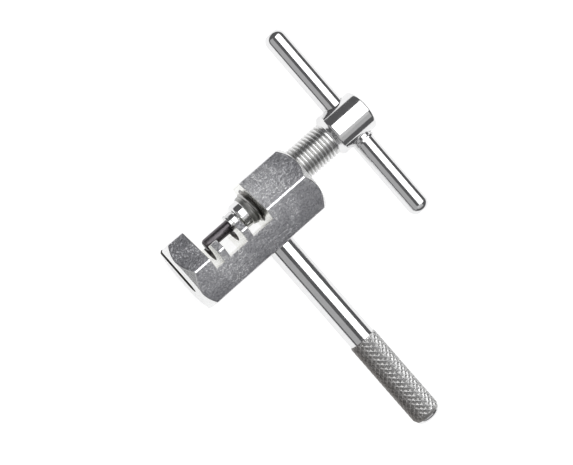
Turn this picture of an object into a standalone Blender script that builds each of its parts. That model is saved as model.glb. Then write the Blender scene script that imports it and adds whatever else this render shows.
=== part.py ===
"""Bicycle chain tool: a hexagonal body, a side handle and a T-bar spindle that drives a captive pin.

The geometry is laid out in millimetres about the middle of the hexagonal body. X runs along the
spindle (anvil at -X, T-bar at +X), the handle points along -Y, and two corners of the hexagon point
along +Z and -Z. An empty then moves the tool so that the world origin is at the bottom centre of its box.
"""

import math

import bmesh
import bpy
from mathutils import Vector

MM = 0.001

# Hexagonal body
HEX_FLATS = 19.0            # across the flats
HEX_EDGE_FLAT = 0.5         # width of the narrow flat that breaks each long edge
BODY_END = 19.85            # both end faces, from the middle
END_FACE_RADIUS = 9.35      # round end face inside the turned chamfer
END_CHAMFER_DEPTH = 1.9     # along the axis, at a corner of the hexagon

# Chain gap, from the anvil jaw at -X to the threaded block at +X
SPINDLE_Y = 3.0             # the spindle lies off the middle, towards the open side
JAW_FACE = -13.2
NEAR_RIB = (-10.6, -8.65)
FAR_RIB = (-3.0, -1.0)
BLOCK_FACE = 5.4
GAP_FLOOR_Y = -2.8
RIB_TOP_Y = 2.6
RIB_BORE_RADIUS = 4.4       # cradle that a chain roller drops into
JAW_SLOT_WIDTH = 4.6        # the rivet leaves through this slot
JAW_SLOT_BOTTOM_Y = -3.9
BLOCK_BORE_RADIUS = 5.1
BORE_COUNTERSINK = 0.5

# Handle, turned from one rod
HANDLE_X = 4.3
HANDLE_RADIUS = 3.7
GRIP_RADIUS = 3.95
GRIP_START_Y = -41.0
HANDLE_END_Y = -68.0
HANDLE_END_CHAMFER = (2.2, 1.9)      # along, radial
GRIP_STEP_LENGTH = 0.5
SPIGOT_RADIUS = 2.5
SPIGOT_END_Y = -5.0

# Spindle screw, with a 3/8 inch by 24 turns per inch thread
THREAD_RADIUS = 4.7625
THREAD_PITCH = 25.4 / 24.0
THREAD_DEPTH = 0.6134 * THREAD_PITCH
THREAD_CREST = THREAD_PITCH / 8.0
THREAD_SPAN = (3.3, 31.3)
THREAD_LEAD_IN = 0.5
STUB_RADIUS = 2.0
STUB_FRONT = -0.3
NOSE_RADIUS = 3.75
NOSE_FRONT = 0.25
NOSE_CHAMFER = 0.6
HEAD_RADIUS = 5.9
HEAD_SPAN = (32.2, 43.95)
HEAD_INNER_CHAMFER = (1.0, 1.3)
HEAD_OUTER_CHAMFER = (0.6, 0.6)

# Pin retainer, a cap that holds the driving pin on the stub
RETAINER_SPAN = (-2.4, -0.05)
RETAINER_RADIUS = 2.7
RETAINER_RIM = (0.6, 0.15)           # length and height of the rim at its front
RETAINER_WALL = 0.9                  # thickness of its front wall
RETAINER_CAVITY_RADIUS = 2.3

# Driving pin
PIN_RADIUS = 1.65
PIN_TIP = -10.6
PIN_TIP_CHAMFER = 0.6
PIN_HEAD_RADIUS = 2.0
PIN_HEAD_SPAN = (-1.2, -0.6)

# T-bar, pressed through the head
T_BAR_X = 38.6
T_BAR_RADIUS = 3.0
T_BAR_LENGTH = 60.0
T_BAR_END_CHAMFER = (1.7, 1.1)

GAP = 0.3                   # between a piece and its neighbour
MARGIN = 1.0                # how far a cutter runs past the material
ROUND_SIDES = 32
THREAD_SIDES = 24

HEX_CORNER_RADIUS = HEX_FLATS / math.sqrt(3.0)
HEX_TOP = HEX_CORNER_RADIUS - HEX_EDGE_FLAT / 2.0 / math.tan(math.radians(60.0))
T_BAR_TOP_Y = SPINDLE_Y + T_BAR_LENGTH / 2.0
BOX_CENTRE = ((HEAD_SPAN[1] - BODY_END) / 2.0, (HANDLE_END_Y + T_BAR_TOP_Y) / 2.0)


def clear_scene():
    """Remove every object from the open file."""
    for item in list(bpy.data.objects):
        bpy.data.objects.remove(item, do_unlink=True)


def metal(name, colour, roughness, metallic=1.0):
    """Make a plain metal material."""
    material = bpy.data.materials.new(name)
    material.use_nodes = True
    shader = material.node_tree.nodes["Principled BSDF"]
    shader.inputs["Base Color"].default_value = (*colour, 1.0)
    shader.inputs["Roughness"].default_value = roughness
    shader.inputs["Metallic"].default_value = metallic
    return material


def add_empty(name, place, parent=None):
    """Add an empty at a place given in millimetres."""
    empty = bpy.data.objects.new(name, None)
    empty.location = Vector(place) * MM
    empty.parent = parent
    bpy.context.scene.collection.objects.link(empty)
    return empty


def add_piece(name, shape, material, parent, place=(0.0, 0.0, 0.0), turn=0.0):
    """Turn a bmesh in millimetres into an object in metres, turned about Z by an angle in degrees."""
    bmesh.ops.recalc_face_normals(shape, faces=shape.faces)
    bmesh.ops.scale(shape, vec=(MM, MM, MM), verts=shape.verts)
    mesh = bpy.data.meshes.new(name)
    shape.to_mesh(mesh)
    shape.free()
    mesh.shade_smooth()
    mesh.set_sharp_from_angle(angle=math.radians(30.0))
    if material:
        mesh.materials.append(material)
    piece = bpy.data.objects.new(name, mesh)
    piece.location = Vector(place) * MM
    piece.rotation_euler.z = math.radians(turn)
    piece.parent = parent
    bpy.context.scene.collection.objects.link(piece)
    return piece


def cut(piece, cutter, operation="DIFFERENCE"):
    """Cut a piece with a guide body that the finished tool leaves out."""
    cutter.hide_render = True
    cutter.display_type = "WIRE"
    modifier = piece.modifiers.new(cutter.name, "BOOLEAN")
    modifier.operation = operation
    modifier.solver = "EXACT"
    modifier.object = cutter


def turned(profile, sides=ROUND_SIDES):
    """Turn (x, radius) points about X. The first and last points lie on the axis, or the profile is a loop."""
    shape = bmesh.new()
    rings = []
    for x, radius in profile:
        if radius == 0.0:
            rings.append([shape.verts.new((x, 0.0, 0.0))])
            continue
        angles = (2.0 * math.pi * side / sides for side in range(sides))
        rings.append([shape.verts.new((x, radius * math.cos(a), radius * math.sin(a))) for a in angles])
    pairs = list(zip(rings, rings[1:]))
    if profile[0][1] > 0.0:
        pairs.append((rings[-1], rings[0]))
    for first, second in pairs:
        join_rings(shape, first, second, [(side, (side + 1) % sides) for side in range(sides)])
    return shape


def join_rings(shape, first, second, columns):
    """Bridge two rings between pairs of columns. Either ring may be a single point."""
    for side, after in columns:
        corners = [first[side % len(first)], first[after % len(first)]]
        corners += [second[after % len(second)], second[side % len(second)]]
        shape.faces.new(dict.fromkeys(corners))


def block(low, high):
    """Make a box between two corners."""
    shape = bmesh.new()
    bmesh.ops.create_cube(shape, size=1.0)
    size = Vector(high) - Vector(low)
    bmesh.ops.scale(shape, vec=size, verts=shape.verts)
    bmesh.ops.translate(shape, vec=(Vector(low) + Vector(high)) / 2.0, verts=shape.verts)
    return shape


def hexagonal_bar():
    """Make the bar: a hexagon with broken edges, extruded along X."""
    shape = bmesh.new()
    outline = []
    half_flat = math.degrees(math.atan(HEX_EDGE_FLAT / 2.0 / HEX_TOP))
    reach = math.hypot(HEX_TOP, HEX_EDGE_FLAT / 2.0)
    for corner in range(6):
        for side in (-half_flat, half_flat):
            angle = math.radians(30.0 + 60.0 * corner + side)
            outline.append((reach * math.cos(angle), reach * math.sin(angle)))
    verts = [shape.verts.new((-BODY_END - MARGIN, y, z)) for y, z in outline]
    face = shape.faces.new(verts)
    extruded = bmesh.ops.extrude_face_region(shape, geom=[face])
    moved = [item for item in extruded["geom"] if isinstance(item, bmesh.types.BMVert)]
    bmesh.ops.translate(shape, vec=(2.0 * (BODY_END + MARGIN), 0.0, 0.0), verts=moved)
    return shape


def end_envelope():
    """Make the turned envelope that gives the bar its round end faces and curved chamfers."""
    slope = END_CHAMFER_DEPTH / (HEX_CORNER_RADIUS - END_FACE_RADIUS)
    full_radius = HEX_CORNER_RADIUS + MARGIN
    full_x = BODY_END - slope * (full_radius - END_FACE_RADIUS)
    profile = [(-BODY_END, 0.0), (-BODY_END, END_FACE_RADIUS), (-full_x, full_radius)]
    profile += [(x * -1.0, radius) for x, radius in reversed(profile)]
    return turned(profile, 2 * ROUND_SIDES)


def gap_cutters():
    """Yield the name and shape of each cutter that opens the chain gap from the +Y side."""
    reach = HEX_CORNER_RADIUS + MARGIN
    open_y = HEX_FLATS / 2.0 + MARGIN
    slots = ((JAW_FACE, NEAR_RIB[0]), (NEAR_RIB[1], FAR_RIB[0]), (FAR_RIB[1], BLOCK_FACE))
    for number, (start, end) in enumerate(slots, 1):
        yield f"cut_slot_{number}", block((start, GAP_FLOOR_Y, -reach), (end, open_y, reach))
    yield "cut_above_ribs", block((JAW_FACE, RIB_TOP_Y, -reach), (BLOCK_FACE, open_y + MARGIN, reach))


def jaw_slot():
    """Make the cutter for the open slot in the anvil jaw, with its round bottom."""
    half = JAW_SLOT_WIDTH / 2.0
    steps = ROUND_SIDES // 2
    outline = [(HEX_FLATS / 2.0 + MARGIN, half), (HEX_FLATS / 2.0 + MARGIN, -half)]
    centre_y = JAW_SLOT_BOTTOM_Y + half
    for step in range(steps + 1):
        angle = math.pi * step / steps
        outline.append((centre_y - half * math.sin(angle), -half * math.cos(angle)))
    shape = bmesh.new()
    start = -BODY_END - MARGIN
    face = shape.faces.new([shape.verts.new((start, y, z)) for y, z in outline])
    extruded = bmesh.ops.extrude_face_region(shape, geom=[face])
    moved = [item for item in extruded["geom"] if isinstance(item, bmesh.types.BMVert)]
    bmesh.ops.translate(shape, vec=(JAW_FACE + MARGIN - start, 0.0, 0.0), verts=moved)
    return shape


def block_bore():
    """Make the cutter for the bore through the block, countersunk at both ends."""
    wide = BLOCK_BORE_RADIUS + BORE_COUNTERSINK + MARGIN
    depth = BORE_COUNTERSINK
    profile = [(BLOCK_FACE - MARGIN, 0.0), (BLOCK_FACE - MARGIN, wide)]
    profile += [(BLOCK_FACE + depth, BLOCK_BORE_RADIUS), (BODY_END - depth, BLOCK_BORE_RADIUS)]
    profile += [(BODY_END + MARGIN, wide), (BODY_END + MARGIN, 0.0)]
    return turned(profile)


def make_body(parent):
    """Make the hexagonal body with its jaw, two cradle ribs, threaded block and handle hole."""
    nickel = metal("satin_nickel", (0.42, 0.42, 0.43), 0.35)
    body = add_piece("hex_body", hexagonal_bar(), nickel, parent)
    cut(body, add_piece("cut_envelope", end_envelope(), None, parent), "INTERSECT")
    for name, shape in gap_cutters():
        cut(body, add_piece(name, shape, None, parent))
    cut(body, add_piece("cut_jaw_slot", jaw_slot(), None, parent))
    on_axis = (0.0, SPINDLE_Y, 0.0)
    middle = (JAW_FACE + NEAR_RIB[0]) / 2.0
    cradle = turned([(middle, 0.0), (middle, RIB_BORE_RADIUS), (2.0, RIB_BORE_RADIUS), (2.0, 0.0)])
    cut(body, add_piece("cut_cradles", cradle, None, parent, on_axis))
    cut(body, add_piece("cut_block_bore", block_bore(), None, parent, on_axis))
    radius = SPIGOT_RADIUS + GAP
    bottom = -SPIGOT_END_Y - GAP
    top = HEX_FLATS / 2.0 + MARGIN
    hole = turned([(bottom, 0.0), (bottom, radius), (top, radius), (top, 0.0)])
    cut(body, add_piece("cut_handle_hole", hole, None, parent, (HANDLE_X, 0.0, 0.0), -90.0))


def make_handle(parent):
    """Make the handle: a spigot in the body, a plain shank and a grip that is knurled on the real tool."""
    chrome = metal("bright_nickel", (0.72, 0.72, 0.73), 0.12)
    along, radial = HANDLE_END_CHAMFER
    shoulder = HEX_FLATS / 2.0 + GAP
    grip = -GRIP_START_Y
    end = -HANDLE_END_Y
    profile = [(-SPIGOT_END_Y, 0.0), (-SPIGOT_END_Y, SPIGOT_RADIUS), (shoulder, SPIGOT_RADIUS)]
    profile += [(shoulder, HANDLE_RADIUS), (grip, HANDLE_RADIUS), (grip + GRIP_STEP_LENGTH, GRIP_RADIUS)]
    profile += [(end - along, GRIP_RADIUS), (end, GRIP_RADIUS - radial), (end, 0.0)]
    add_piece("handle", turned(profile), chrome, parent, (HANDLE_X, 0.0, 0.0), -90.0)


def thread_rows():
    """List the (x, radius) points of the thread for one column, before its helical shift."""
    root = THREAD_RADIUS - THREAD_DEPTH
    turns = math.ceil((THREAD_SPAN[1] - THREAD_SPAN[0]) / THREAD_PITCH) + 1
    rows = []
    for number in range(-1, turns):
        start = THREAD_SPAN[0] + number * THREAD_PITCH
        rows.append((start, root))
        rows.append((start + (THREAD_PITCH - THREAD_CREST) / 2.0, THREAD_RADIUS))
        rows.append((start + (THREAD_PITCH + THREAD_CREST) / 2.0, THREAD_RADIUS))
    return rows


def thread_envelope(x):
    """Give the largest thread radius at x: the lead-in chamfers at both ends of the thread."""
    root = THREAD_RADIUS - THREAD_DEPTH
    inside = min(x - THREAD_SPAN[0], THREAD_SPAN[1] - x)
    return root + min(THREAD_DEPTH, max(0.0, inside) * THREAD_DEPTH / THREAD_LEAD_IN)


def spindle_profiles():
    """List the turned profile in front of the thread and behind it."""
    root = THREAD_RADIUS - THREAD_DEPTH
    front = [(STUB_FRONT, 0.0), (STUB_FRONT, STUB_RADIUS), (NOSE_FRONT, STUB_RADIUS)]
    front += [(NOSE_FRONT, NOSE_RADIUS - NOSE_CHAMFER), (NOSE_FRONT + NOSE_CHAMFER, NOSE_RADIUS)]
    front += [(THREAD_SPAN[0] - GAP, NOSE_RADIUS), (THREAD_SPAN[0] - GAP, root)]
    inner_along, inner_radial = HEAD_INNER_CHAMFER
    outer_along, outer_radial = HEAD_OUTER_CHAMFER
    back = [(HEAD_SPAN[0], root), (HEAD_SPAN[0], HEAD_RADIUS - inner_radial)]
    back += [(HEAD_SPAN[0] + inner_along, HEAD_RADIUS), (HEAD_SPAN[1] - outer_along, HEAD_RADIUS)]
    back += [(HEAD_SPAN[1], HEAD_RADIUS - outer_radial), (HEAD_SPAN[1], 0.0)]
    return front, back


def spindle_shape():
    """Build the spindle as rings whose thread rows follow the helix from column to column."""
    front, back = spindle_profiles()
    rows = [(x, radius, 0.0) for x, radius in front]
    rows += [(x, radius, 1.0) for x, radius in thread_rows()]
    rows += [(x, radius, 0.0) for x, radius in back]
    shape = bmesh.new()
    rings = []
    for x, radius, shift in rows:
        if radius == 0.0:
            rings.append([shape.verts.new((x, 0.0, 0.0))])
            continue
        ring = []
        for side in range(THREAD_SIDES + 1):
            share = side / THREAD_SIDES
            here = x + shift * share * THREAD_PITCH
            size = radius
            if shift:
                here = min(max(here, THREAD_SPAN[0]), THREAD_SPAN[1])
                size = min(radius, thread_envelope(here))
            angle = 2.0 * math.pi * share
            ring.append(shape.verts.new((here, size * math.cos(angle), size * math.sin(angle))))
        rings.append(ring)
    for first, second in zip(rings, rings[1:]):
        join_rings(shape, first, second, [(side, side + 1) for side in range(THREAD_SIDES)])
    bmesh.ops.remove_doubles(shape, verts=shape.verts, dist=0.001)
    bmesh.ops.dissolve_degenerate(shape, edges=shape.edges, dist=0.0005)
    return shape


def make_spindle(parent):
    """Make the spindle screw with the cross hole in its head."""
    chrome = metal("spindle_nickel", (0.62, 0.62, 0.63), 0.15)
    spindle = add_piece("spindle_screw", spindle_shape(), chrome, parent)
    reach = HEAD_RADIUS + MARGIN
    radius = T_BAR_RADIUS + GAP
    hole = turned([(-reach, 0.0), (-reach, radius), (reach, radius), (reach, 0.0)])
    cut(spindle, add_piece("cut_cross_hole", hole, None, parent, (T_BAR_X, 0.0, 0.0), 90.0))


def make_t_bar(parent):
    """Make the T-bar with its chamfered ends."""
    chrome = metal("bar_nickel", (0.72, 0.72, 0.73), 0.12)
    along, radial = T_BAR_END_CHAMFER
    half = T_BAR_LENGTH / 2.0
    profile = [(-half, 0.0), (-half, T_BAR_RADIUS - radial), (along - half, T_BAR_RADIUS)]
    profile += [(half - along, T_BAR_RADIUS), (half, T_BAR_RADIUS - radial), (half, 0.0)]
    add_piece("t_bar", turned(profile), chrome, parent, (T_BAR_X, 0.0, 0.0), 90.0)


def make_pin_and_retainer(parent):
    """Make the driving pin with its head and the cap that holds the head against the stub."""
    start, end = RETAINER_SPAN
    rim_length, rim_height = RETAINER_RIM
    hole = PIN_RADIUS + GAP
    inner = start + RETAINER_WALL
    profile = [(start, hole), (start, RETAINER_RADIUS + rim_height)]
    profile += [(start + rim_length, RETAINER_RADIUS + rim_height), (start + rim_length, RETAINER_RADIUS)]
    profile += [(end, RETAINER_RADIUS), (end, RETAINER_CAVITY_RADIUS), (inner, RETAINER_CAVITY_RADIUS)]
    profile += [(inner, hole)]
    add_piece("pin_retainer", turned(profile), metal("retainer_nickel", (0.6, 0.6, 0.6), 0.2), parent)
    head_start, head_end = PIN_HEAD_SPAN
    profile = [(PIN_TIP, 0.0), (PIN_TIP, PIN_RADIUS - PIN_TIP_CHAMFER), (PIN_TIP + PIN_TIP_CHAMFER, PIN_RADIUS)]
    profile += [(head_start, PIN_RADIUS), (head_start, PIN_HEAD_RADIUS), (head_end, PIN_HEAD_RADIUS)]
    profile += [(head_end, 0.0)]
    add_piece("driving_pin", turned(profile), metal("black_oxide", (0.02, 0.02, 0.022), 0.3), parent)


def build():
    """Build the whole chain tool."""
    clear_scene()
    tool = add_empty("tool_frame", (-BOX_CENTRE[0], -BOX_CENTRE[1], HEX_TOP))
    axis = add_empty("spindle_axis", (0.0, SPINDLE_Y, 0.0), tool)
    make_body(tool)
    make_handle(tool)
    make_spindle(axis)
    make_t_bar(axis)
    make_pin_and_retainer(axis)


build()
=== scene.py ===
"""Looks of the bicycle chain tool: detailed metal pieces, soft studio light and the camera.

Lengths are in millimetres unless a name says otherwise, and place() turns them into metres.
Each piece is modelled on its own axis: local X runs along the turned or sawn length, and place() puts
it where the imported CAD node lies.
"""

import math

import bmesh
import bpy
from mathutils import Matrix, Vector


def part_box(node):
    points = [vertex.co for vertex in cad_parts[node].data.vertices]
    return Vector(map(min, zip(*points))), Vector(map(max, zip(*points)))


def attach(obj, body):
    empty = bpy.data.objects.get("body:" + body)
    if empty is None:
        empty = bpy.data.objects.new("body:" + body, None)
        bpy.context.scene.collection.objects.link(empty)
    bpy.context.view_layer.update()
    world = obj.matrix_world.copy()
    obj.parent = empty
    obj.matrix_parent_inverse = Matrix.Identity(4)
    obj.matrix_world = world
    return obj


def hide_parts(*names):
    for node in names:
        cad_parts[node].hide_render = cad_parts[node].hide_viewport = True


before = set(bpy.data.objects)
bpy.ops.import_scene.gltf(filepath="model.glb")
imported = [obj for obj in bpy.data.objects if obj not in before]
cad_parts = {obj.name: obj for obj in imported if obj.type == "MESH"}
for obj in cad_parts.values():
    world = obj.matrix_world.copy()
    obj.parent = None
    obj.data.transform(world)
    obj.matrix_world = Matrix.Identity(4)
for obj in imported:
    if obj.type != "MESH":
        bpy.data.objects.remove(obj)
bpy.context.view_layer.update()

MM = 0.001


def box_mm(node):
    """The lowest and highest corner of a CAD node, in millimetres."""
    return [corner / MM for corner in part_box(node)]


# Places read from the frame
BODY_LOW, BODY_HIGH = box_mm("hex_body")
HANDLE_LOW, HANDLE_HIGH = box_mm("handle")
SCREW_LOW, SCREW_HIGH = box_mm("spindle_screw")
T_BAR_LOW, T_BAR_HIGH = box_mm("t_bar")
PIN_LOW, PIN_HIGH = box_mm("driving_pin")
CAP_LOW, CAP_HIGH = box_mm("pin_retainer")
BODY_CENTRE = (BODY_LOW + BODY_HIGH) / 2.0
SPINDLE_PLACE = Vector((BODY_CENTRE.x, (PIN_LOW.y + PIN_HIGH.y) / 2.0, BODY_CENTRE.z))
HANDLE_PLACE = Vector(((HANDLE_LOW.x + HANDLE_HIGH.x) / 2.0, BODY_CENTRE.y, BODY_CENTRE.z))
T_BAR_PLACE = Vector(((T_BAR_LOW.x + T_BAR_HIGH.x) / 2.0, SPINDLE_PLACE.y, BODY_CENTRE.z))

# Hexagonal body
HEX_FLATS = BODY_HIGH.y - BODY_LOW.y
HEX_TOP = (BODY_HIGH.z - BODY_LOW.z) / 2.0
BODY_END = (BODY_HIGH.x - BODY_LOW.x) / 2.0
HEX_EDGE_FLAT = 0.48         # width of the flats that break the hexagon's six edges
END_FACE_RADIUS = 9.35
END_CHAMFER_DEPTH = 1.9
EDGE_BREAK = 0.13            # width of the softened machined edges
HIGHLIGHT_SPOTS = (             # place, reach and strength of the painted highlights, patches painted brighter
    ((7.0, 4.0, 9.0), 11.0, 1.0),
    ((-9.0, -4.0, 9.0), 12.0, 0.4),
)
SHADED_EDGE_Y = (-9.0, -5.5)    # local Y where the painted shade along the lower edge is full, and where it ends

# Chain gap
SPINDLE_Y = SPINDLE_PLACE.y - BODY_CENTRE.y
JAW_FACE = -13.2
NEAR_RIB = (-10.6, -8.65)
FAR_RIB = (-3.0, -1.0)
BLOCK_FACE = 5.4
GAP_FLOOR_Y = -2.8
RIB_TOP_Y = 2.6
CRADLE_RADIUS = 4.4
JAW_SLOT_WIDTH = 4.6
JAW_SLOT_BOTTOM_Y = -3.9
SLOT_STEPS = 24              # sides of the jaw slot's round bottom
CRADLE_END = 2.0             # the cradle cutter stops in the open slot behind the far rib
BORE_COUNTERSINK = 0.55
# the fourth slot is painted dark as shade in the bores, slots and cradles
TUMBLED, MILLED, TURNED, SHADED_RECESS, BURNISHED = range(5)    # the body's material slots

# Handle
HANDLE_RADIUS = 3.7
SPIGOT_RADIUS = 2.5
SPIGOT_LENGTH = 4.5
GRIP_RADIUS = (HANDLE_HIGH.x - HANDLE_LOW.x) / 2.0
HANDLE_END = BODY_CENTRE.y - HANDLE_LOW.y
HANDLE_DOME = (1.2, 2.2)     # length of the smooth end, and radius of the flat at its tip
GRIP_START = 41.0
GRIP_FRONT_SLOPE = 0.5
GRIP_FRONT_STEP = 0.02       # the knurl starts this far above the shank
GRIP_FADE = 2.4              # length over which the knurl tapers off before the end
GRIP_TAPER = 0.6             # radius lost over that length, up to the smooth end
KNURLS_AROUND = 16
KNURL_LENGTH = 1.5           # of one diamond, along the handle
KNURL_STEPS = 4              # grid steps from a ridge crossing to the middle of a pit
KNURL_DEPTH = 0.24
KNURL_STEEPNESS = 1.5        # above 1, the pits have flat floors between narrow ridges

# Spindle screw
THREAD_RADIUS = 4.7625
THREAD_PITCH = 25.4 / 24.0
THREAD_DEPTH = 0.6134 * THREAD_PITCH
THREAD_ROOT = 0.21           # share of a pitch along the flat at the bottom of the groove
THREAD_CREST = 0.10          # share of a pitch along the crest
THREAD_START = 2.75
THREAD_START_RADIUS = 3.90   # the thread grows out of a cone that starts at this radius
THREAD_LEAD_IN = 2.5         # length of that cone
THREAD_RUN_OUT = 1.5         # length over which the thread fades out below the head
THREAD_NECK = 0.16           # how far the neck lies below the crests
THREAD_SIDES = 96
THREAD_CLEARANCE = 0.05      # between the crests and the block's thread
THREAD_WIDENING = 0.03       # share of a pitch by which the cutter's thread is wider than the screw's
CUTTER_LEAD = 0.01           # the cutter's thread starts and ends at once
STUB_RADIUS = 2.0
STUB_FRONT = -0.3
NOSE_RADIUS = 3.75
NOSE_FRONT = 0.25
NOSE_CHAMFER = 0.45
HEAD_RADIUS = (SCREW_HIGH.z - SCREW_LOW.z) / 2.0
HEAD_END = SCREW_HIGH.x - SPINDLE_PLACE.x
HEAD_START = HEAD_END - 12.1
HEAD_STEPS = ((0.0, 1.25), (0.45, 0.8), (1.15, 0.0))    # of its front: from the start, in from the radius
HEAD_END_ROUND = 0.85
THREAD_SPAN = (THREAD_START, HEAD_START - 0.05)
CROSS_HOLE_LIP = (0.8, 0.12)    # how deep the cross hole's flare goes, and how wide it is

# T-bar
T_BAR_RADIUS = (T_BAR_HIGH.x - T_BAR_LOW.x) / 2.0
T_BAR_HALF = (T_BAR_HIGH.y - T_BAR_LOW.y) / 2.0
T_BAR_DOME = (2.1, 1.9)      # length, and radius of the flat left at the tip
STAKE_OFFSET = 0.42          # middle of the staking, from the head
STAKE_HALF_WIDTH = 0.34
STAKE_DENT = 0.4
STAKE_EAR = 0.55
STAKE_STEP = 0.05            # between the rings that carry the staking
STAKE_RINGS = 14             # of them on each side of its middle

# Retainer cap and pin
CAP_START = CAP_LOW.x - SPINDLE_PLACE.x
CAP_END = CAP_HIGH.x - SPINDLE_PLACE.x
CAP_RIM_RADIUS = (CAP_HIGH.z - CAP_LOW.z) / 2.0
CAP_RADIUS = 2.7
CAP_RIM_LENGTH = 0.55
CAP_WALL = 0.9
CAP_CAVITY_RADIUS = 2.3
CAP_GROOVE = (0.1, 0.3, 0.15)    # start and end behind the rim, and depth
PIN_TIP = PIN_LOW.x - SPINDLE_PLACE.x
PIN_END = PIN_HIGH.x - SPINDLE_PLACE.x
PIN_RADIUS = 1.65
PIN_HEAD_RADIUS = (PIN_HIGH.z - PIN_LOW.z) / 2.0
PIN_HEAD_LENGTH = 0.6
PIN_TIP_CHAMFER = (0.6, 0.45)    # length, and radius taken off at the tip

# Shared by all pieces
ROUND_SIDES = 128
FIT = 0.03                   # running gap between pieces that touch
MARGIN = 1.0                 # how far a cutter runs past the material
FILLET_STEPS = 5
DOME_STEPS = 10
TIP_STEP = (0.04, 0.12)      # the last small slope of a domed end: along, and in toward its flat
SMOOTH_ANGLE = 32.0          # degrees: edges sharper than this stay crisp

# Camera, aimed at a point given from the middle of the hexagonal body
CAMERA_AIM = (7.59, -7.94, 0.0)
CAMERA_DISTANCE = 337.0
CAMERA_AZIMUTH = -104.65
CAMERA_ELEVATION = 78.504
CAMERA_ROLL = -63.354
CAMERA_LENS = 83.32

# Studio, in metres
FLOOR_RADIUS = 3.0
FLOOR_GLOW = 0.86
WORLD_GREY = 0.115
SOFTBOXES = (
    # name, angles from the vertical toward +X and +Y in degrees, distance, width and height, radiance
    ("key_softbox", 25.5, 9.5, 0.70, (0.73, 0.78), 2.2),
    ("side_softbox", -53.0, 0.0, 0.70, (0.57, 1.30), 0.36),
    ("low_softbox", -3.0, -30.0, 0.78, (0.80, 0.25), 0.54),
    ("lower_softbox", -3.0, -50.0, 0.78, (0.80, 0.29), 0.40),
)


# ------------------------------------------------------------------ mesh helpers

def join_rings(shape, first, second, columns):
    """Bridge two rings between pairs of columns. Either ring may be a single point."""
    for side, after in columns:
        corners = [first[side % len(first)], first[after % len(first)]]
        corners += [second[after % len(second)], second[side % len(second)]]
        shape.faces.new(dict.fromkeys(corners))


def ring(shape, x, radius, sides):
    """Add a ring of vertices about the X axis, or one vertex on it."""
    if radius == 0.0:
        return [shape.verts.new((x, 0.0, 0.0))]
    angles = (2.0 * math.pi * side / sides for side in range(sides))
    return [shape.verts.new((x, radius * math.cos(a), radius * math.sin(a))) for a in angles]


def fillet(points):
    """Turn (x, radius, reach) corners into (x, radius) points, curved over that reach at each corner."""
    result = []
    for index, (x, radius, reach) in enumerate(points):
        here = Vector((x, radius))
        if reach == 0.0 or index in (0, len(points) - 1):
            result.append((x, radius))
            continue
        before = Vector(points[index - 1][:2]) - here
        after = Vector(points[index + 1][:2]) - here
        start = here + before.normalized() * min(reach, before.length / 2.0)
        end = here + after.normalized() * min(reach, after.length / 2.0)
        for step in range(FILLET_STEPS + 1):
            share = step / FILLET_STEPS
            point = start.lerp(here, share).lerp(here.lerp(end, share), share)
            result.append((point.x, point.y))
    return result


def dome(end, radius, length, flat):
    """List the (x, radius) points of a domed end, from the full radius to the middle of its flat tip."""
    last_angle = math.acos(flat / radius)
    reach = length / math.sin(last_angle)
    start = end - TIP_STEP[0] - length
    angles = [last_angle * step / DOME_STEPS for step in range(DOME_STEPS + 1)]
    points = [(start + reach * math.sin(angle), radius * math.cos(angle)) for angle in angles]
    return points + [(end, flat - TIP_STEP[1]), (end, 0.0)]


def turned(profile, sides=ROUND_SIDES):
    """Turn (x, radius) points about X. The first and last lie on the axis, or the profile is a loop."""
    shape = bmesh.new()
    rings = [ring(shape, x, radius, sides) for x, radius in profile]
    pairs = list(zip(rings, rings[1:]))
    if profile[0][1] > 0.0:
        pairs.append((rings[-1], rings[0]))
    columns = [(side, (side + 1) % sides) for side in range(sides)]
    for first, second in pairs:
        join_rings(shape, first, second, columns)
    return shape


def block(low, high):
    """Make a box between two corners, as a cutter."""
    shape = bmesh.new()
    bmesh.ops.create_cube(shape, size=1.0)
    bmesh.ops.scale(shape, vec=Vector(high) - Vector(low), verts=shape.verts)
    bmesh.ops.translate(shape, vec=(Vector(low) + Vector(high)) / 2.0, verts=shape.verts)
    return shape


def prism(outline, start, end):
    """Extrude a (y, z) outline along X."""
    shape = bmesh.new()
    face = shape.faces.new([shape.verts.new((start, y, z)) for y, z in outline])
    extruded = bmesh.ops.extrude_face_region(shape, geom=[face])
    moved = [item for item in extruded["geom"] if isinstance(item, bmesh.types.BMVert)]
    bmesh.ops.translate(shape, vec=(end - start, 0.0, 0.0), verts=moved)
    return shape


def add_object(name, shape, materials=(), slot_index=0):
    """Make an object in millimetres from a bmesh, with every face in one material slot."""
    bmesh.ops.recalc_face_normals(shape, faces=shape.faces)
    mesh = bpy.data.meshes.new(name)
    for face in shape.faces:
        face.material_index = slot_index
    shape.to_mesh(mesh)
    shape.free()
    for material in materials:
        mesh.materials.append(material)
    item = bpy.data.objects.new(name, mesh)
    bpy.context.scene.collection.objects.link(item)
    return item


def settle(item):
    """Apply an object's modifiers to its mesh."""
    graph = bpy.context.evaluated_depsgraph_get()
    item.data = bpy.data.meshes.new_from_object(item.evaluated_get(graph))
    item.modifiers.clear()


def cut(item, cutters, operation="DIFFERENCE"):
    """Cut an object with temporary bodies, which are removed afterwards."""
    for cutter in cutters:
        modifier = item.modifiers.new(cutter.name, "BOOLEAN")
        modifier.operation = operation
        modifier.solver = "EXACT"
        modifier.object = cutter
    settle(item)
    for cutter in cutters:
        bpy.data.objects.remove(cutter)


def place(item, node, body, where, turn=0.0):
    """Scale a finished piece to metres, shade it, put it at its place and tie it to the frame."""
    item.data.transform(Matrix.Diagonal((MM, MM, MM, 1.0)))
    item.data.shade_smooth()
    item.data.set_sharp_from_angle(angle=math.radians(SMOOTH_ANGLE))
    normals = item.modifiers.new("weighted_normals", "WEIGHTED_NORMAL")
    normals.keep_sharp = True
    normals.weight = 60
    item.location = where * MM
    item.rotation_euler.z = math.radians(turn)
    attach(item, body)
    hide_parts(node)
    return item


# ------------------------------------------------------------------ thread helpers

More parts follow.
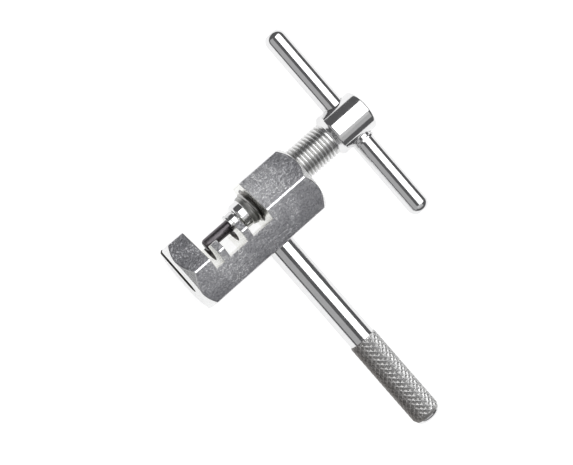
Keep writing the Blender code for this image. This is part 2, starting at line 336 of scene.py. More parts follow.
def thread_profile(widen):
    """List (share of a pitch, share of the depth) points of one 60 degree thread with softened edges."""
    root = THREAD_ROOT - widen
    crest = THREAD_CREST + widen
    crest_start = root + 0.5 - (root + crest) / 2.0
    crest_end = crest_start + crest
    return ((0.0, 1.0), (root, 1.0), (root + 0.05, 0.93), (crest_start - 0.04, 0.06),
            (crest_start, 0.0), (crest_end, 0.0), (crest_end + 0.04, 0.06), (0.95, 0.93))


def helix_rows(span, radius, widen=0.0):
    """List the (x, radius) points of a thread for one column, before its helical shift."""
    rows = []
    turns = math.ceil((span[1] - span[0]) / THREAD_PITCH) + 1
    for number in range(-1, turns):
        for share, depth in thread_profile(widen):
            rows.append((span[0] + (number + share) * THREAD_PITCH, radius - depth * THREAD_DEPTH))
    return rows


def thread_reach(x, size, span, radius, lead_in, run_out):
    """Limit a thread radius at x: a conical start, and an end where the roots rise to the neck."""
    root = radius - THREAD_DEPTH
    neck = radius - THREAD_NECK
    top = min(radius, THREAD_START_RADIUS + (x - span[0]) * (radius - THREAD_START_RADIUS) / lead_in)
    share = max(0.0, 1.0 - (span[1] - x) / run_out)
    floor = root + (neck - root) * share ** 1.5
    return min(max(size, floor), top, radius - THREAD_NECK * share)


def thread_surface(front, back, span, radius, lead_in, run_out, widen=0.0):
    """Build a closed threaded shape: turned points in front, helical rows, and turned points behind."""
    rows = [(x, r, 0.0) for x, r in front]
    rows += [(x, r, 1.0) for x, r in helix_rows(span, radius, widen)]
    rows += [(x, r, 0.0) for x, r in back]
    shape = bmesh.new()
    rings = []
    for x, size, shift in rows:
        if size == 0.0:
            rings.append([shape.verts.new((x, 0.0, 0.0))])
            continue
        here_ring = []
        for side in range(THREAD_SIDES + 1):
            share = side / THREAD_SIDES
            here = x + shift * share * THREAD_PITCH
            reach = size
            if shift:
                here = min(max(here, span[0]), span[1])
                reach = thread_reach(here, size, span, radius, lead_in, run_out)
            angle = 2.0 * math.pi * share
            here_ring.append(shape.verts.new((here, reach * math.cos(angle), reach * math.sin(angle))))
        rings.append(here_ring)
    columns = [(side, side + 1) for side in range(THREAD_SIDES)]
    for first, second in zip(rings, rings[1:]):
        join_rings(shape, first, second, columns)
    bmesh.ops.remove_doubles(shape, verts=shape.verts, dist=0.0008)
    bmesh.ops.dissolve_degenerate(shape, edges=shape.edges, dist=0.0004)
    return shape


# ------------------------------------------------------------------ node helpers

class Paint:
    """A node material whose patterns are laid out in millimetres in the piece's own space."""

    def __init__(self, name):
        self.material = bpy.data.materials.new(name)
        self.material.use_nodes = True
        self.nodes = self.material.node_tree.nodes
        self.links = self.material.node_tree.links
        self.shader = self.nodes["Principled BSDF"]
        coordinates = self.nodes.new("ShaderNodeTexCoord")
        self.place = self.vector("SCALE", coordinates.outputs["Object"], scale=1.0 / MM)

    def feed(self, socket, value):
        """Link an output to a socket, or set the socket's value."""
        if isinstance(value, bpy.types.NodeSocket):
            self.links.new(value, socket)
        elif value is not None:
            socket.default_value = value

    def vector(self, operation, first, second=None, scale=None):
        node = self.nodes.new("ShaderNodeVectorMath")
        node.operation = operation
        self.feed(node.inputs[0], first)
        self.feed(node.inputs[1], second)
        if scale is not None:
            node.inputs["Scale"].default_value = scale
        return node.outputs["Value" if operation in ("LENGTH", "DISTANCE") else "Vector"]

    def maths(self, operation, first, second=None):
        node = self.nodes.new("ShaderNodeMath")
        node.operation = operation
        self.feed(node.inputs[0], first)
        self.feed(node.inputs[1], second)
        return node.outputs[0]

    def noise(self, scale, detail=3.0, roughness=0.5, stretch=(1.0, 1.0, 1.0), distortion=0.0):
        """Noise with this many features per millimetre, drawn out along an axis by a small stretch."""
        node = self.nodes.new("ShaderNodeTexNoise")
        self.feed(node.inputs["Vector"], self.vector("MULTIPLY", self.place, stretch))
        node.inputs["Scale"].default_value = scale
        node.inputs["Detail"].default_value = detail
        node.inputs["Roughness"].default_value = roughness
        node.inputs["Distortion"].default_value = distortion
        return node.outputs["Fac"]

    def spread(self, value, low, high, new_low=0.0, new_high=1.0):
        """Map a value from one range to another, clamped."""
        node = self.nodes.new("ShaderNodeMapRange")
        self.feed(node.inputs["Value"], value)
        limits = {"From Min": low, "From Max": high, "To Min": new_low, "To Max": new_high}
        for name, number in limits.items():
            node.inputs[name].default_value = number
        return node.outputs["Result"]

    def blend(self, share, first, second):
        """Blend two colours."""
        node = self.nodes.new("ShaderNodeMix")
        node.data_type = "RGBA"
        self.feed(node.inputs["Factor"], share)
        self.feed(node.inputs[6], (*first, 1.0) if isinstance(first, tuple) else first)
        self.feed(node.inputs[7], (*second, 1.0) if isinstance(second, tuple) else second)
        return node.outputs[2]

    def bump(self, height, distance_mm, strength=1.0, under=None):
        """Raise the surface by a pattern, on top of an earlier bump if one is given."""
        node = self.nodes.new("ShaderNodeBump")
        node.inputs["Strength"].default_value = strength
        node.inputs["Distance"].default_value = distance_mm * MM
        self.feed(node.inputs["Height"], height)
        self.feed(node.inputs["Normal"], under)
        return node.outputs["Normal"]

    def radius(self):
        """Distance from the piece's own X axis, in millimetres."""
        return self.vector("LENGTH", self.vector("MULTIPLY", self.place, (0.0, 1.0, 1.0)))

    def part(self, axis):
        """One coordinate in millimetres."""
        node = self.nodes.new("ShaderNodeSeparateXYZ")
        self.feed(node.inputs[0], self.place)
        return node.outputs[axis]

    def finish(self, colour, roughness, normal=None, metallic=1.0):
        """Wire the surface and give the material."""
        self.feed(self.shader.inputs["Base Color"], colour)
        self.feed(self.shader.inputs["Roughness"], roughness)
        self.feed(self.shader.inputs["Normal"], normal)
        self.shader.inputs["Metallic"].default_value = metallic
        return self.material


# ------------------------------------------------------------------ materials

def tumbled_nickel():
    """Satin nickel over tumbled bar: cloudy patches, fine specks with painted glints, painted highlight
    patches and a painted shade along the lower edge.
    """
    paint = Paint("tumbled_nickel")
    clouds = paint.noise(0.17, 4.0, 0.6, distortion=0.7)
    waves = paint.noise(0.9, 2.0, 0.5)
    grain = paint.noise(1.8, 3.0, 0.68)
    specks = paint.spread(paint.noise(1.9, 2.0, 0.6), 0.55, 0.63)
    scratches = paint.spread(paint.noise(0.9, 2.0, 0.5, (0.2, 3.0, 3.0), 0.8), 0.66, 0.73)
    # painted highlight: patches painted brighter near the given spots, where light pools on the faces
    painted_highlight = 0.0
    for spot, reach, strength in HIGHLIGHT_SPOTS:
        near = paint.spread(paint.vector("DISTANCE", paint.place, spot), reach, 0.2 * reach, 0.0, strength)
        painted_highlight = paint.maths("ADD", painted_highlight, near)
    painted_highlight = paint.maths("MULTIPLY", painted_highlight, paint.spread(clouds, 0.30, 0.52, 0.4, 1.0))
    bright = paint.maths("ADD", paint.spread(clouds, 0.42, 0.62, 0.05, 0.5), painted_highlight)
    # painted glints: specks painted white, strongest in the bright clouds and painted highlights
    glint_specks = paint.maths("MULTIPLY", specks, bright)
    tone = paint.blend(paint.spread(grain, 0.38, 0.62), (0.34, 0.34, 0.37), (0.66, 0.66, 0.69))
    tone = paint.blend(paint.spread(clouds, 0.40, 0.60, 0.0, 0.5), tone, (0.78, 0.78, 0.81))
    # painted highlight: the patches are painted almost white
    tone = paint.blend(paint.maths("MULTIPLY", painted_highlight, 0.7), tone, (0.97, 0.97, 0.99))
    tone = paint.blend(glint_specks, tone, (1.0, 1.0, 1.0))
    # painted shade: the lower edge is painted darker
    tone = paint.blend(paint.spread(paint.part(1), *SHADED_EDGE_Y, 0.4, 0.0), tone, (0.24, 0.24, 0.26))
    rough = paint.spread(clouds, 0.35, 0.65, 0.36, 0.27)
    rough = paint.maths("ADD", rough, paint.maths("MULTIPLY", painted_highlight, 0.10))
    normal = paint.bump(waves, 0.10, 0.8)
    normal = paint.bump(grain, 0.10, 0.8, normal)
    normal = paint.bump(glint_specks, 0.07, 1.0, normal)
    normal = paint.bump(scratches, 0.012, 0.6, normal)
    return paint.finish(tone, rough, normal)


def milled_nickel():
    """The slots' walls and floors: brighter, slightly warm metal with cutter marks along the slot."""
    paint = Paint("milled_nickel")
    marks = paint.noise(1.0, 2.0, 0.6, (0.05, 2.6, 0.05))
    across = paint.noise(1.0, 2.0, 0.6, (0.05, 0.05, 3.4))
    grain = paint.noise(4.0, 2.0, 0.6)
    tone = paint.blend(paint.spread(marks, 0.3, 0.7), (0.74, 0.74, 0.71), (0.95, 0.95, 0.92))
    rough = paint.spread(grain, 0.3, 0.7, 0.18, 0.32)
    normal = paint.bump(marks, 0.03, 0.5)
    normal = paint.bump(across, 0.015, 0.5, normal)
    normal = paint.bump(grain, 0.008, 0.5, normal)
    return paint.finish(tone, rough, normal)


def shaded_recess_nickel():
    """Bores, slots and cradles with painted shade: dark, patchy and half shiny."""
    paint = Paint("shaded_recess_nickel")
    patches = paint.noise(0.7, 4.0, 0.65, distortion=0.4)
    grain = paint.noise(4.5, 3.0, 0.6)
    tone = paint.blend(paint.spread(patches, 0.38, 0.68), (0.055, 0.048, 0.042), (0.24, 0.23, 0.22))
    rough = paint.spread(patches, 0.3, 0.7, 0.55, 0.34)
    return paint.finish(tone, rough, paint.bump(grain, 0.02, 0.6), 0.75)


def turned_nickel():
    """The turned chamfers and end faces: fine rings about the bar's axis."""
    paint = Paint("turned_nickel")
    rings = paint.nodes.new("ShaderNodeTexNoise")
    rings.noise_dimensions = "1D"
    paint.feed(rings.inputs["W"], paint.radius())
    rings.inputs["Scale"].default_value = 6.0
    grain = paint.noise(3.0, 2.0, 0.6)
    tone = paint.blend(paint.spread(grain, 0.3, 0.7), (0.72, 0.72, 0.72), (0.86, 0.86, 0.86))
    rough = paint.spread(grain, 0.3, 0.7, 0.22, 0.32)
    normal = paint.bump(rings.outputs["Fac"], 0.02, 0.5)
    return paint.finish(tone, rough, normal)


def bright_nickel(name, darkest=0.70, brightest=0.82, rough=(0.07, 0.15)):
    """Bright plate over drawn rod: faint lengthwise lines, soft waviness and handling marks."""
    paint = Paint(name)
    lines = paint.noise(3.2, 2.0, 0.55, (0.06, 1.0, 1.0))
    haze = paint.noise(0.5, 4.0, 0.6, distortion=0.5)
    pits = paint.spread(paint.noise(3.0, 1.0), 0.74, 0.8)
    tone = paint.blend(haze, (darkest, darkest, darkest * 1.01), (brightest, brightest, brightest))
    normal = paint.bump(lines, 0.004, 0.4)
    normal = paint.bump(pits, 0.01, 0.4, normal)
    return paint.finish(tone, paint.spread(haze, 0.3, 0.7, *rough), normal)


def grooved_nickel(name, root, crest, groove_grime_and_shade, rough, dents, shaded_spans):
    """Plate on a knurl or a thread, from the root radius to the crest radius.

    Grime and painted shade in the grooves take the given groove colour, and worn crests are smoother than
    roots. Dents are this deep, and a painted shade lies where every (axis, clear, shaded) span given last
    says so.
    """
    paint = Paint(name)
    height = paint.spread(paint.radius(), root, crest)
    haze = paint.noise(0.8, 3.0, 0.6)
    grain = paint.noise(5.0, 2.0, 0.6)
    # grime and painted shade: the grooves are painted darker toward the root
    tone = paint.blend(paint.maths("POWER", height, 0.6), groove_grime_and_shade, (0.82, 0.82, 0.82))
    tone = paint.blend(paint.spread(haze, 0.4, 0.75, 0.0, 0.3), tone, (0.62, 0.62, 0.61))
    # painted shade: a near-black colour laid over the given spans
    painted_shade = paint.spread(haze, 0.25, 0.6, 0.72, 0.9)
    for axis, clear_at, shaded_at in shaded_spans:
        painted_shade = paint.maths("MULTIPLY", painted_shade, paint.spread(paint.part(axis), clear_at, shaded_at))
    tone = paint.blend(painted_shade, tone, (0.12, 0.108, 0.10))
    shine = paint.maths("ADD", paint.spread(height, 0.0, 1.0, rough[1], rough[0]),
                        paint.spread(grain, 0.3, 0.7, 0.0, 0.06))
    normal = paint.bump(paint.noise(1.5, 2.0, 0.5), dents)
    return paint.finish(tone, shine, paint.bump(grain, 0.01, 0.45, normal))


def black_oxide():
    """Blackened hard steel with an oily sheen, worn a little along its length."""
    paint = Paint("black_oxide")
    haze = paint.noise(0.9, 4.0, 0.6)
    rubs = paint.spread(paint.noise(2.2, 2.0, 0.5, (0.12, 1.0, 1.0)), 0.5, 0.75)
    tone = paint.blend(paint.maths("MULTIPLY", rubs, haze), (0.11, 0.10, 0.11), (0.30, 0.28, 0.29))
    rough = paint.spread(haze, 0.3, 0.7, 0.22, 0.36)
    return paint.finish(tone, rough, paint.bump(rubs, 0.006, 0.5), 0.85)


def pale_floor():
    """A bright, even tabletop that glows a little, so that the metal mirrors a pale surface."""
    paint = Paint("pale_floor")
    mottle = paint.noise(0.01, 2.0)
    paint.shader.inputs["Emission Color"].default_value = (1.0, 1.0, 1.0, 1.0)
    paint.shader.inputs["Emission Strength"].default_value = FLOOR_GLOW
    paint.shader.inputs["Specular IOR Level"].default_value = 0.0
    return paint.finish(paint.blend(mottle, (0.36, 0.36, 0.36), (0.38, 0.38, 0.38)), 0.9, None, 0.0)


# ------------------------------------------------------------------ hexagonal body

def hexagon_outline():
    """List the (y, z) corners of the bar: a hexagon whose six edges are broken by narrow flats."""
    outline = []
    half_flat = math.degrees(math.atan(HEX_EDGE_FLAT / 2.0 / HEX_TOP))
    reach = math.hypot(HEX_TOP, HEX_EDGE_FLAT / 2.0)
    for corner in range(6):
        for side in (-half_flat, half_flat):
            angle = math.radians(30.0 + 60.0 * corner + side)
            outline.append((reach * math.cos(angle), reach * math.sin(angle)))
    return outline


def end_envelope():
    """Make the turned envelope that gives the bar its round end faces and curved chamfers."""
    corner_radius = HEX_FLATS / math.sqrt(3.0)
    slope = END_CHAMFER_DEPTH / (corner_radius - END_FACE_RADIUS)
    full_radius = corner_radius + MARGIN
    full_x = BODY_END - slope * (full_radius - END_FACE_RADIUS)
    profile = [(-BODY_END, 0.0), (-BODY_END, END_FACE_RADIUS), (-full_x, full_radius)]
    profile += [(-x, radius) for x, radius in reversed(profile)]
    return turned(profile)


def slot_outline():
    """List the (y, z) outline of the jaw's open slot, with its round bottom."""
    half = JAW_SLOT_WIDTH / 2.0
    outline = [(HEX_FLATS / 2.0 + MARGIN, half), (HEX_FLATS / 2.0 + MARGIN, -half)]
    centre_y = JAW_SLOT_BOTTOM_Y + half
    for step in range(SLOT_STEPS + 1):
        angle = math.pi * step / SLOT_STEPS
        outline.append((centre_y - half * math.sin(angle), -half * math.cos(angle)))
    return outline


def gap_cutters():
    """Make the cutters that open the chain gap, the jaw slot and the cradles."""
    reach = HEX_TOP + MARGIN
    open_y = HEX_FLATS / 2.0 + MARGIN
    cutters = []
    # the jaw slot and the cradle take the slot with painted shade
    shaded_recess_cutters = [prism(slot_outline(), -BODY_END - MARGIN, JAW_FACE + MARGIN)]
    for start, end in ((JAW_FACE, NEAR_RIB[0]), (NEAR_RIB[1], FAR_RIB[0]), (FAR_RIB[1], BLOCK_FACE)):
        cutters.append(block((start, GAP_FLOOR_Y, -reach), (end, open_y, reach)))
    cutters.append(block((JAW_FACE, RIB_TOP_Y, -reach), (BLOCK_FACE, open_y + MARGIN, reach)))
    middle = (JAW_FACE + NEAR_RIB[0]) / 2.0
    cradle = turned([(middle, 0.0), (middle, CRADLE_RADIUS), (CRADLE_END, CRADLE_RADIUS), (CRADLE_END, 0.0)])
    bmesh.ops.translate(cradle, vec=(0.0, SPINDLE_Y, 0.0), verts=cradle.verts)
    shaded_recess_cutters.append(cradle)
    items = [add_object(f"gap_cutter_{number}", shape, slot_index=MILLED)
             for number, shape in enumerate(cutters)]
    items += [add_object(f"shaded_recess_cutter_{number}", shape, slot_index=SHADED_RECESS)
              for number, shape in enumerate(shaded_recess_cutters)]
    return items


def bore_cutters():
    """Make the cutters for the threaded bore, before its thread, and for the handle's hole."""
    bore = THREAD_RADIUS - THREAD_DEPTH + THREAD_CLEARANCE
    wide = THREAD_RADIUS + BORE_COUNTERSINK / 2.0
    slope = wide - bore
    profile = [(BLOCK_FACE - slope, 0.0), (BLOCK_FACE - slope, wide + slope), (BLOCK_FACE + slope, bore)]
    profile += [(BODY_END - slope, bore), (BODY_END + slope, wide + slope), (BODY_END + slope, 0.0)]
    shape = turned(profile, THREAD_SIDES)
    bmesh.ops.translate(shape, vec=(0.0, SPINDLE_Y, 0.0), verts=shape.verts)
    hole = turned([(SPIGOT_LENGTH, 0.0), (SPIGOT_LENGTH, SPIGOT_RADIUS + FIT),
                   (HEX_FLATS, SPIGOT_RADIUS + FIT), (HEX_FLATS, 0.0)])
    bmesh.ops.rotate(hole, matrix=Matrix.Rotation(math.radians(-90.0), 3, "Z"), verts=hole.verts)
    bmesh.ops.translate(hole, vec=(HANDLE_PLACE.x - BODY_CENTRE.x, 0.0, 0.0), verts=hole.verts)
    return [add_object("bore_cutter", shape, slot_index=SHADED_RECESS),
            add_object("handle_hole_cutter", hole, slot_index=SHADED_RECESS)]


def thread_cutter():
    """Make the helical cutter that leaves the internal thread, a little larger than the screw's."""
    front = BLOCK_FACE - MARGIN
    span = (front - (front - THREAD_SPAN[0]) % THREAD_PITCH, BODY_END + MARGIN)
    radius = THREAD_RADIUS + THREAD_CLEARANCE
    root = radius - THREAD_DEPTH
    shape = thread_surface([(span[0], 0.0), (span[0], root)], [(span[1], root), (span[1], 0.0)],
                           span, radius, CUTTER_LEAD, CUTTER_LEAD, THREAD_WIDENING)
    bmesh.ops.translate(shape, vec=(0.0, SPINDLE_Y, 0.0), verts=shape.verts)
    return add_object("thread_cutter", shape, slot_index=SHADED_RECESS)


def break_edges(item):
    """Soften every machined edge with a narrow round."""
    shape = bmesh.new()
    shape.from_mesh(item.data)
    bmesh.ops.remove_doubles(shape, verts=shape.verts, dist=0.002)
    bmesh.ops.dissolve_limit(shape, angle_limit=math.radians(0.2), verts=shape.verts, edges=shape.edges)
    sharp = [edge for edge in shape.edges if edge.is_manifold and edge.calc_face_angle() > math.radians(14.0)]
    bmesh.ops.bevel(shape, geom=sharp, offset=EDGE_BREAK, segments=3, profile=0.5, affect="EDGES",
                    clamp_overlap=False, material=-1)
    shape.to_mesh(item.data)
    shape.free()


def burnish_edges(item):
    """Burnish the flats along the hexagon's six edges and the broken edges at the ends of its faces."""
    for face in item.data.polygons:
        across = math.hypot(face.normal.y, face.normal.z)
        angle = math.degrees(math.atan2(face.normal.z, face.normal.y))
        off_corner = abs(angle % 60.0 - 30.0)
        edge_flat = face.material_index == TUMBLED and across > 0.99 and off_corner < 12.0
        broken_edge = face.material_index in (TUMBLED, TURNED) and 0.08 < abs(face.normal.x) < 0.6
        if edge_flat or broken_edge:
            face.material_index = BURNISHED


def build_body():
    """Build the hexagonal body with broken edges, milled gap, turned ends and a real internal thread."""
    materials = (tumbled_nickel(), milled_nickel(), turned_nickel(), shaded_recess_nickel(),
                 bright_nickel("burnished_edges", 0.76, 0.88, (0.14, 0.22)))
    bar = prism(hexagon_outline(), -BODY_END - MARGIN, BODY_END + MARGIN)
    bar = add_object("machined_body", bar, materials)
    cut(bar, [add_object("end_envelope", end_envelope(), slot_index=TURNED)], "INTERSECT")
    cut(bar, gap_cutters())
    cut(bar, bore_cutters())
    break_edges(bar)
    burnish_edges(bar)
    cut(bar, [thread_cutter()])
    return place(bar, "hex_body", "frame", BODY_CENTRE)


# ------------------------------------------------------------------ handle

def knurl_depth(column, row):
    """Depth of the knurl at a grid point, from 0 on a crossing ridge to 1 in the middle of a pit."""
    cycle = 2 * KNURL_STEPS
    to_ridge = [abs((value % cycle) / cycle - 0.5) for value in (column + row, column - row)]
    inside = min(1.0, KNURL_STEEPNESS * (1.0 - 2.0 * max(to_ridge)))
    return inside * inside * (3.0 - 2.0 * inside)


def knurl_envelope(x):
    """Largest radius of the grip at x: its sloping front and its long taper at the end."""
    front = HANDLE_RADIUS + GRIP_FRONT_STEP + (x - GRIP_START) * GRIP_FRONT_SLOPE
    back = GRIP_RADIUS - (x - (HANDLE_END - GRIP_FADE)) * GRIP_TAPER / (GRIP_FADE - HANDLE_DOME[0])
    return min(GRIP_RADIUS, front, back)


def knurl_rings(shape):
    """Add the grip's rings, up to the smooth end."""
    columns = KNURLS_AROUND * 2 * KNURL_STEPS
    step = KNURL_LENGTH / (2 * KNURL_STEPS)
    rows = int((HANDLE_END - HANDLE_DOME[0] - GRIP_START) / step) + 1
    rings = []
    for row in range(rows):
        x = GRIP_START + row * step
        here = []
        for column in range(columns):
            angle = 2.0 * math.pi * column / columns
            pit = GRIP_RADIUS - KNURL_DEPTH * knurl_depth(column, row)
            radius = min(pit, knurl_envelope(x))
            here.append(shape.verts.new((x, radius * math.cos(angle), radius * math.sin(angle))))
        rings.append(here)
    return rings


def split_along_ridges(shape, rings):
    """Fill the grip's grid with triangles whose diagonals follow the ridges."""
    columns = len(rings[0])
    cycle = 2 * KNURL_STEPS
    for row, (first, second) in enumerate(zip(rings, rings[1:])):
        for column in range(columns):
            after = (column + 1) % columns
            rising = abs(((column + row + 1) % cycle) / cycle - 0.5)
            falling = abs(((column - row) % cycle) / cycle - 0.5)
            corners = (first[column], first[after], second[after], second[column])
            if rising >= falling:
                shape.faces.new((corners[0], corners[1], corners[3]))
                shape.faces.new((corners[1], corners[2], corners[3]))
            else:
                shape.faces.new((corners[0], corners[1], corners[2]))
                shape.faces.new((corners[0], corners[2], corners[3]))


def build_handle():
    """Build the handle: spigot, polished shank and a grip with crossing knurled ridges."""
    shape = bmesh.new()
    columns = KNURLS_AROUND * 2 * KNURL_STEPS
    shoulder = HEX_FLATS / 2.0
    front = fillet([(SPIGOT_LENGTH + FIT, 0.0, 0.0), (SPIGOT_LENGTH + FIT, SPIGOT_RADIUS, 0.3),
                    (shoulder + FIT, SPIGOT_RADIUS, 0.0), (shoulder + FIT, HANDLE_RADIUS, 0.15),
                    (GRIP_START - 0.05, HANDLE_RADIUS, 0.0)])
    rings = [ring(shape, x, radius, columns) for x, radius in front]
    grip = knurl_rings(shape)
    pairs = [(side, (side + 1) % columns) for side in range(columns)]
    for first, second in zip(rings, rings[1:] + [grip[0]]):
        join_rings(shape, first, second, pairs)
    split_along_ridges(shape, grip)
    last_x = grip[-1][0].co.x
    back = dome(HANDLE_END, knurl_envelope(last_x), HANDLE_END - TIP_STEP[0] - last_x, HANDLE_DOME[1])
    rings = [grip[-1]] + [ring(shape, x, radius, columns) for x, radius in back[1:]]
    for first, second in zip(rings, rings[1:]):
        join_rings(shape, first, second, pairs)
    shank = bright_nickel("polished_shank")
    # the knurl's side toward local -Y is painted darker as shade
    knurl = grooved_nickel("knurled_nickel", GRIP_RADIUS - KNURL_DEPTH, GRIP_RADIUS, (0.46, 0.46, 0.45),
                           (0.32, 0.42), 0.10, ((1, 1.0, -3.2),))
    handle = add_object("knurled_handle", shape, (shank, knurl))
    for face in handle.data.polygons:
        if GRIP_START < face.center.x < last_x:
            face.material_index = 1
    return place(handle, "handle", "frame", HANDLE_PLACE, -90.0)


# ------------------------------------------------------------------ spindle

def spindle_front():
    """List the (x, radius) points of the stub and the nose, up to the thread's cone."""
    return fillet([(STUB_FRONT, 0.0, 0.0), (STUB_FRONT, STUB_RADIUS, 0.2), (NOSE_FRONT, STUB_RADIUS, 0.0),
                   (NOSE_FRONT, NOSE_RADIUS - NOSE_CHAMFER, 0.1),
                   (NOSE_FRONT + NOSE_CHAMFER, NOSE_RADIUS, 0.3), (THREAD_START - 0.12, NOSE_RADIUS, 0.05),
                   (THREAD_START - 0.02, THREAD_START_RADIUS, 0.0)])


def spindle_back():
    """List the (x, radius) points of the neck and the head."""
    neck = THREAD_RADIUS - THREAD_NECK
    steps = [(HEAD_START + along, HEAD_RADIUS - inward) for along, inward in HEAD_STEPS]
    return fillet([(THREAD_SPAN[1] + 0.02, neck, 0.0), (HEAD_START, neck, 0.05),
                   (*steps[0], 0.2), (*steps[1], 0.2), (*steps[2], 0.35),
                   (HEAD_END, HEAD_RADIUS, HEAD_END_ROUND), (HEAD_END, 0.0, 0.0)])


def cross_hole_cutter():
    """Make the cutter for the T-bar's hole through the head, flared at both ends."""
    reach = HEAD_RADIUS + MARGIN
    depth, lip = CROSS_HOLE_LIP
    wide = T_BAR_RADIUS + FIT
    hole = turned([(-reach, 0.0), (-reach, wide + lip), (-HEAD_RADIUS + depth, wide),
                   (HEAD_RADIUS - depth, wide), (reach, wide + lip), (reach, 0.0)])
    bmesh.ops.rotate(hole, matrix=Matrix.Rotation(math.radians(90.0), 3, "Z"), verts=hole.verts)
    bmesh.ops.translate(hole, vec=(T_BAR_PLACE.x - SPINDLE_PLACE.x, 0.0, 0.0), verts=hole.verts)
    return add_object("cross_hole_cutter", hole)


def build_spindle():
    """Build the screw: stub, nose, fine thread, neck and the head with its cross hole."""
    shape = thread_surface(spindle_front(), spindle_back(), THREAD_SPAN, THREAD_RADIUS, THREAD_LEAD_IN,
                           THREAD_RUN_OUT)
    head = bright_nickel("polished_head")
    # the thread near and inside the block's bore is painted dark as shade
    shaded_spans = ((0, THREAD_START + 1.0, BLOCK_FACE), (0, BODY_END - 1.0, BODY_END - 5.0))
    thread = grooved_nickel("thread_nickel", THREAD_RADIUS - THREAD_DEPTH, THREAD_RADIUS, (0.34, 0.34, 0.33),
                            (0.18, 0.34), 0.02, shaded_spans)
    spindle = add_object("threaded_spindle", shape, (head, thread))
    for face in spindle.data.polygons:
        if THREAD_START < face.center.x < THREAD_SPAN[1]:
            face.material_index = 1
    cut(spindle, [cross_hole_cutter()])
    return place(spindle, "spindle_screw", "spindle", SPINDLE_PLACE)


def staked(point):
    """Move a point of the T-bar for the staking beside the head: dented along Z, with one ear along -Y."""
    share = math.exp(-((point.x + HEAD_RADIUS + STAKE_OFFSET) / STAKE_HALF_WIDTH) ** 4)
    across = math.hypot(point.y, point.z)
    if across < 1e-6 or share < 1e-4:
        return point
    flat = (point.z / across) ** 2
    moved = point.copy()
    if point.y < 0.0:
        moved.y *= 1.0 + share * STAKE_EAR * (1.0 - flat) ** 2 / across
    moved.z *= 1.0 - share * STAKE_DENT * flat / across
    return moved


def build_t_bar():
    """Build the T-bar with its domed ends and the staking that holds it in the head."""
    right = dome(T_BAR_HALF, T_BAR_RADIUS, *T_BAR_DOME)
    left = [(-x, radius) for x, radius in reversed(right)]
    middle = -HEAD_RADIUS - STAKE_OFFSET
    stake = [(middle + step * STAKE_STEP, T_BAR_RADIUS) for step in range(-STAKE_RINGS, STAKE_RINGS + 1)]
    shape = turned(left + stake + right)
    for vert in shape.verts:
        vert.co = staked(vert.co)
    bar = add_object("staked_t_bar", shape, (bright_nickel("polished_bar"),))
    return place(bar, "t_bar", "spindle", T_BAR_PLACE, 90.0)


def build_retainer():
    """Build the cap that holds the pin: a front rim, a groove and a plain wall."""
    hole = PIN_RADIUS + FIT
    inner = CAP_START + CAP_WALL
    rim_end = CAP_START + CAP_RIM_LENGTH
    groove_start, groove_end, groove_depth = CAP_GROOVE
    groove_radius = CAP_RADIUS - groove_depth
    corners = [(CAP_START, hole, 0.0), (CAP_START, CAP_RIM_RADIUS, 0.15), (rim_end, CAP_RIM_RADIUS, 0.12),
               (rim_end + groove_start, groove_radius, 0.05), (rim_end + groove_end, groove_radius, 0.05),
               (rim_end + groove_end + 0.12, CAP_RADIUS, 0.08), (CAP_END, CAP_RADIUS, 0.3),
               (CAP_END, CAP_CAVITY_RADIUS, 0.0), (inner, CAP_CAVITY_RADIUS, 0.0), (inner, hole, 0.0)]
    metal = bright_nickel("retainer_nickel", 0.62, 0.76, (0.1, 0.2))
    cap = add_object("retainer_cap", turned(fillet(corners)), (metal,))
    return place(cap, "pin_retainer", "spindle", SPINDLE_PLACE)


def build_pin():
    """Build the blackened driving pin with its rounded tip and its head inside the cap."""
    tip_length, tip_inset = PIN_TIP_CHAMFER
    neck = PIN_END - PIN_HEAD_LENGTH
    corners = [(PIN_TIP, 0.0, 0.0), (PIN_TIP, PIN_RADIUS - tip_inset, 0.25),
               (PIN_TIP + tip_length, PIN_RADIUS, 0.35), (neck, PIN_RADIUS, 0.0),
               (neck, PIN_HEAD_RADIUS, 0.1), (PIN_END, PIN_HEAD_RADIUS, 0.1), (PIN_END, 0.0, 0.0)]
    pin = add_object("blackened_pin", turned(fillet(corners)), (black_oxide(),))
    return place(pin, "driving_pin", "pin", SPINDLE_PLACE)


# ------------------------------------------------------------------ studio

def add_floor():
    """Lay the pale floor under the tool. Its mesh is in metres already."""
    shape = bmesh.new()
    bmesh.ops.create_circle(shape, cap_ends=True, segments=96, radius=FLOOR_RADIUS)
    floor = add_object("pale_floor", shape, (pale_floor(),))


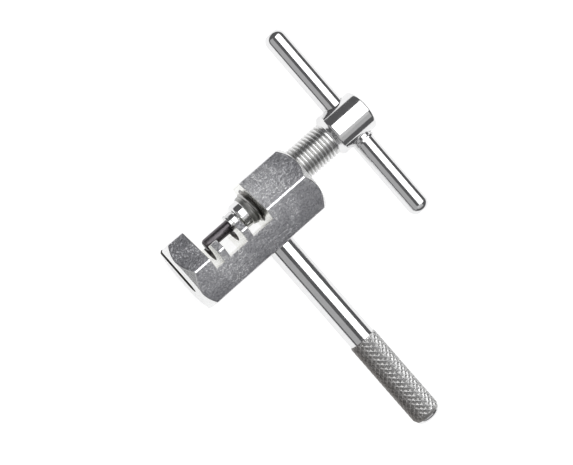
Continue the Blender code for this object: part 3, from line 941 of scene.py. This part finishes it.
def add_softbox(name, toward_x, toward_y, distance, size, radiance):
    """Hang a rectangular lamp in a direction given by its angles from the vertical, facing the tool."""
    slopes = [math.tan(math.radians(angle)) for angle in (toward_x, toward_y)]
    direction = Vector((*slopes, 1.0)).normalized()
    data = bpy.data.lights.new(name, "AREA")
    data.shape = "RECTANGLE"
    data.size, data.size_y = size
    data.energy = radiance * math.pi * size[0] * size[1]
    lamp = bpy.data.objects.new(name, data)
    lamp.location = direction * distance
    across = Vector((0.0, 1.0, 0.0)).cross(direction).normalized()
    up = direction.cross(across).normalized()
    lamp.rotation_euler = Matrix((across, up, direction)).transposed().to_euler()
    lamp.visible_camera = False
    bpy.context.scene.collection.objects.link(lamp)


def add_world():
    """Surround the tool with a dim even grey, which the metal shows between the lamps."""
    world = bpy.data.worlds.new("dim_studio")
    world.use_nodes = True
    background = world.node_tree.nodes["Background"]
    background.inputs["Color"].default_value = (WORLD_GREY, WORLD_GREY, WORLD_GREY * 1.03, 1.0)
    bpy.context.scene.world = world


def add_camera():
    """Set the camera above the tool, turned so that the spindle runs up to the right."""
    azimuth = math.radians(CAMERA_AZIMUTH)
    elevation = math.radians(CAMERA_ELEVATION)
    level = math.cos(elevation)
    back = Vector((math.sin(azimuth) * level, -math.cos(azimuth) * level, math.sin(elevation)))
    up = (Vector((0.0, 0.0, 1.0)) - back * back.z).normalized()
    up.rotate(Matrix.Rotation(math.radians(-CAMERA_ROLL), 3, back))
    data = bpy.data.cameras.new("camera")
    data.lens = CAMERA_LENS
    data.clip_start = 0.01
    camera = bpy.data.objects.new("camera", data)
    camera.matrix_world = Matrix((up.cross(back), up, back)).transposed().to_4x4()
    camera.location = (BODY_CENTRE + Vector(CAMERA_AIM) + back * CAMERA_DISTANCE) * MM
    bpy.context.scene.collection.objects.link(camera)
    bpy.context.scene.camera = camera


add_camera()
add_world()
add_floor()
for softbox in SOFTBOXES:
    add_softbox(*softbox)
bpy.context.scene.view_settings.view_transform = "Standard"
build_body()
build_handle()
build_spindle()
build_t_bar()
build_retainer()
build_pin()
